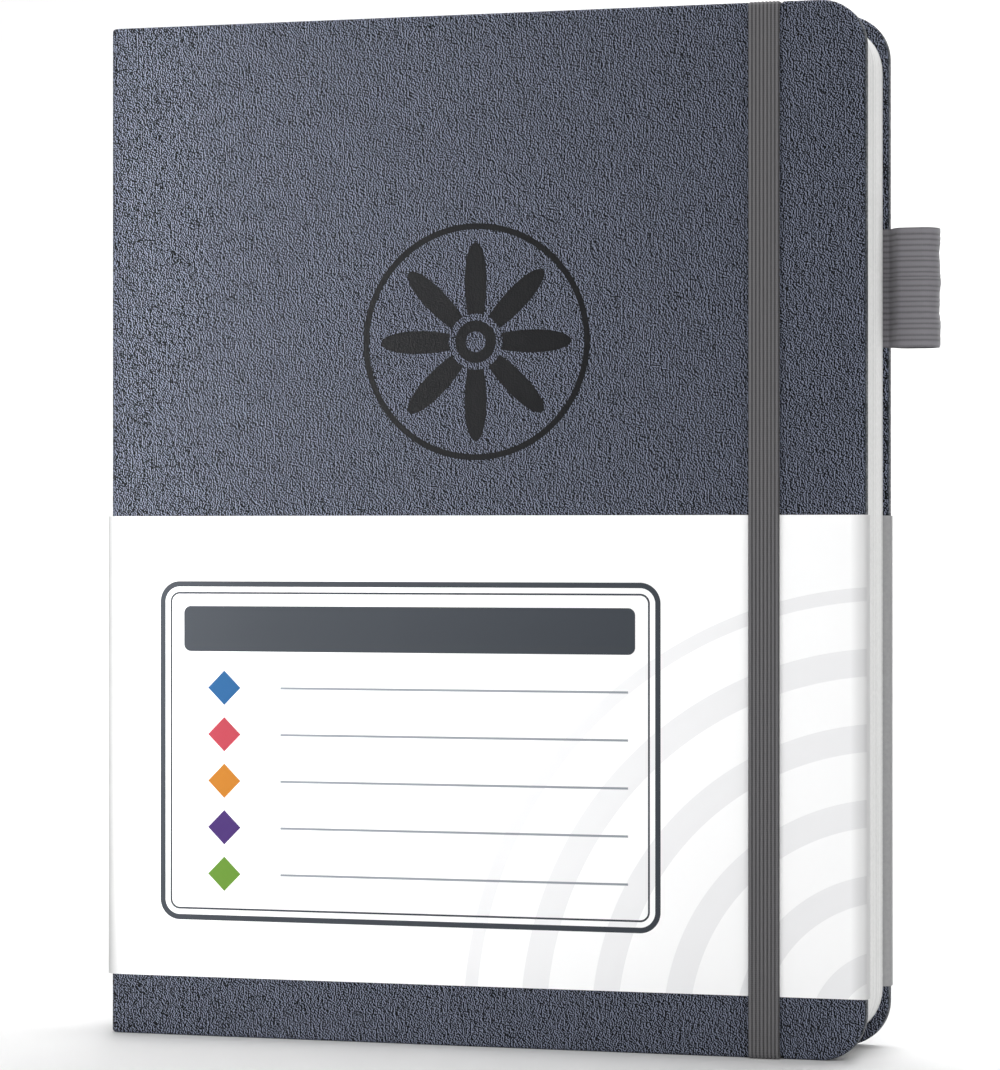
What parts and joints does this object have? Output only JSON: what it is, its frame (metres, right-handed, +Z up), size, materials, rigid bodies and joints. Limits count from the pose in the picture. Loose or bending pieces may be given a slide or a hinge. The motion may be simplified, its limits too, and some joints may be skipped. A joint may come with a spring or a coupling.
{
  "type": "address book",
  "caption": "Hardcover address book in leatherette with sewn index sections, an elastic closure, a pen loop and a paper belly band; covers and leaves open flat.",
  "frame": {"origin": "bottom centre of the whole book's box, on the surface that the tail edge stands on", "axes": "+Z up the spine from tail to head, -Y out of the front cover, +X from spine to fore-edge"},
  "size_m": [0.1392, 0.0248, 0.17],
  "materials": {
    "leatherette": "matte",
    "greyboard": "matte",
    "endpaper": "matte",
    "pages": "matte",
    "gauze": "matte",
    "elastic": "matte",
    "band_paper": "satin"
  },
  "bodies": {
    "back_cover": {"back_board": "greyboard", "back_cover_skin": "leatherette", "back_pastedown": "endpaper", "closure_head_end": "elastic", "closure_tail_end": "elastic", "pen_loop_tab": "elastic", "band_back": "band_paper", "spine_gauze": "gauze"},
    "spine": {"spine_board": "greyboard", "spine_skin": "leatherette", "spine_lining": "endpaper", "front_hinge_strip": "leatherette", "rear_hinge_strip": "leatherette", "band_spine": "band_paper", "band_front_fold": "band_paper", "band_rear_fold": "band_paper"},
    "front_cover": {"front_board": "greyboard", "front_cover_skin": "leatherette", "front_pastedown": "endpaper", "band_front": "band_paper"},
    "rear_flyleaf": {"rear_flyleaf": "endpaper"},
    "leaves_yz": {"leaves_yz": "pages"},
    "leaves_wx": {"leaves_wx": "pages"},
    "leaves_uv": {"leaves_uv": "pages"},
    "leaves_st": {"leaves_st": "pages"},
    "leaves_qr": {"leaves_qr": "pages"},
    "leaves_op": {"leaves_op": "pages"},
    "leaves_mn": {"leaves_mn": "pages"},
    "leaves_kl": {"leaves_kl": "pages"},
    "leaves_ij": {"leaves_ij": "pages"},
    "leaves_gh": {"leaves_gh": "pages"},
    "leaves_ef": {"leaves_ef": "pages"},
    "leaves_cd": {"leaves_cd": "pages"},
    "leaves_ab": {"leaves_ab": "pages"},
    "front_flyleaf": {"front_flyleaf": "endpaper"},
    "closure": {"closure_band": "elastic"},
    "pen_loop": {"pen_loop": "elastic"}
  },
  "joints": [
    {"name": "front_joint", "type": "hinge", "parent": "spine", "child": "front_cover", "pos_m": [-0.06804, -0.00997, 0], "axis": [0, 0, -1], "range_deg": [0, 90], "deforming": ["front_hinge_strip", "band_front_fold", "spine_gauze"]},
    {"name": "rear_joint", "type": "hinge", "parent": "back_cover", "child": "spine", "pos_m": [-0.06804, 0.01032, 0], "axis": [0, 0, -1], "range_deg": [0, 90], "deforming": ["rear_hinge_strip", "band_rear_fold"]},
    {"name": "rear_flyleaf_turn", "type": "hinge", "parent": "back_cover", "child": "rear_flyleaf", "pos_m": [-0.0677, 0.00017, 0], "axis": [0, 0, -1], "range_deg": [0, 11.25]},
    {"name": "leaves_yz_turn", "type": "hinge", "parent": "back_cover", "child": "leaves_yz", "pos_m": [-0.0677, 0.00017, 0], "axis": [0, 0, -1], "range_deg": [0, 22.5]},
    {"name": "leaves_wx_turn", "type": "hinge", "parent": "back_cover", "child": "leaves_wx", "pos_m": [-0.0677, 0.00017, 0], "axis": [0, 0, -1], "range_deg": [0, 33.75]},
    {"name": "leaves_uv_turn", "type": "hinge", "parent": "back_cover", "child": "leaves_uv", "pos_m": [-0.0677, 0.00017, 0], "axis": [0, 0, -1], "range_deg": [0, 45]},
    {"name": "leaves_st_turn", "type": "hinge", "parent": "back_cover", "child": "leaves_st", "pos_m": [-0.0677, 0.00017, 0], "axis": [0, 0, -1], "range_deg": [0, 56.25]},
    {"name": "leaves_qr_turn", "type": "hinge", "parent": "back_cover", "child": "leaves_qr", "pos_m": [-0.0677, 0.00017, 0], "axis": [0, 0, -1], "range_deg": [0, 67.5]},
    {"name": "leaves_op_turn", "type": "hinge", "parent": "back_cover", "child": "leaves_op", "pos_m": [-0.0677, 0.00017, 0], "axis": [0, 0, -1], "range_deg": [0, 78.75]},
    {"name": "leaves_mn_turn", "type": "hinge", "parent": "back_cover", "child": "leaves_mn", "pos_m": [-0.0677, 0.00017, 0], "axis": [0, 0, -1], "range_deg": [0, 90]},
    {"name": "leaves_kl_turn", "type": "hinge", "parent": "back_cover", "child": "leaves_kl", "pos_m": [-0.0677, 0.00017, 0], "axis": [0, 0, -1], "range_deg": [0, 101.25]},
    {"name": "leaves_ij_turn", "type": "hinge", "parent": "back_cover", "child": "leaves_ij", "pos_m": [-0.0677, 0.00017, 0], "axis": [0, 0, -1], "range_deg": [0, 112.5]},
    {"name": "leaves_gh_turn", "type": "hinge", "parent": "back_cover", "child": "leaves_gh", "pos_m": [-0.0677, 0.00017, 0], "axis": [0, 0, -1], "range_deg": [0, 123.75]},
    {"name": "leaves_ef_turn", "type": "hinge", "parent": "back_cover", "child": "leaves_ef", "pos_m": [-0.0677, 0.00017, 0], "axis": [0, 0, -1], "range_deg": [0, 135]},
    {"name": "leaves_cd_turn", "type": "hinge", "parent": "back_cover", "child": "leaves_cd", "pos_m": [-0.0677, 0.00017, 0], "axis": [0, 0, -1], "range_deg": [0, 146.25]},
    {"name": "leaves_ab_turn", "type": "hinge", "parent": "back_cover", "child": "leaves_ab", "pos_m": [-0.0677, 0.00017, 0], "axis": [0, 0, -1], "range_deg": [0, 157.5]},
    {"name": "front_flyleaf_turn", "type": "hinge", "parent": "back_cover", "child": "front_flyleaf", "pos_m": [-0.0677, 0.00017, 0], "axis": [0, 0, -1], "range_deg": [0, 168.75]},
    {"name": "closure_release", "type": "hinge", "parent": "back_cover", "child": "closure", "pos_m": [0.0447, 0.01168, 0], "axis": [0, 0, 1], "range_deg": [0, 180], "deforming": ["closure_band"]},
    {"name": "pen_loop_swing", "type": "hinge", "parent": "back_cover", "child": "pen_loop", "pos_m": [0.0619, 0.00918, 0], "axis": [0, 0, 1], "range_deg": [-50, 40]}
  ],
  "couplings": [
    {"joint": "rear_joint", "follows": "front_joint", "ratio": 1},
    {"joint": "rear_flyleaf_turn", "follows": "front_joint", "ratio": 0.125},
    {"joint": "leaves_yz_turn", "follows": "front_joint", "ratio": 0.25},
    {"joint": "leaves_wx_turn", "follows": "front_joint", "ratio": 0.375},
    {"joint": "leaves_uv_turn", "follows": "front_joint", "ratio": 0.5},
    {"joint": "leaves_st_turn", "follows": "front_joint", "ratio": 0.625},
    {"joint": "leaves_qr_turn", "follows": "front_joint", "ratio": 0.75},
    {"joint": "leaves_op_turn", "follows": "front_joint", "ratio": 0.875},
    {"joint": "leaves_mn_turn", "follows": "front_joint", "ratio": 1},
    {"joint": "leaves_kl_turn", "follows": "front_joint", "ratio": 1.125},
    {"joint": "leaves_ij_turn", "follows": "front_joint", "ratio": 1.25},
    {"joint": "leaves_gh_turn", "follows": "front_joint", "ratio": 1.375},
    {"joint": "leaves_ef_turn", "follows": "front_joint", "ratio": 1.5},
    {"joint": "leaves_cd_turn", "follows": "front_joint", "ratio": 1.625},
    {"joint": "leaves_ab_turn", "follows": "front_joint", "ratio": 1.75},
    {"joint": "front_flyleaf_turn", "follows": "front_joint", "ratio": 1.875},
    {"joint": "closure_release", "follows": "front_joint", "ratio": 2}
  ]
}
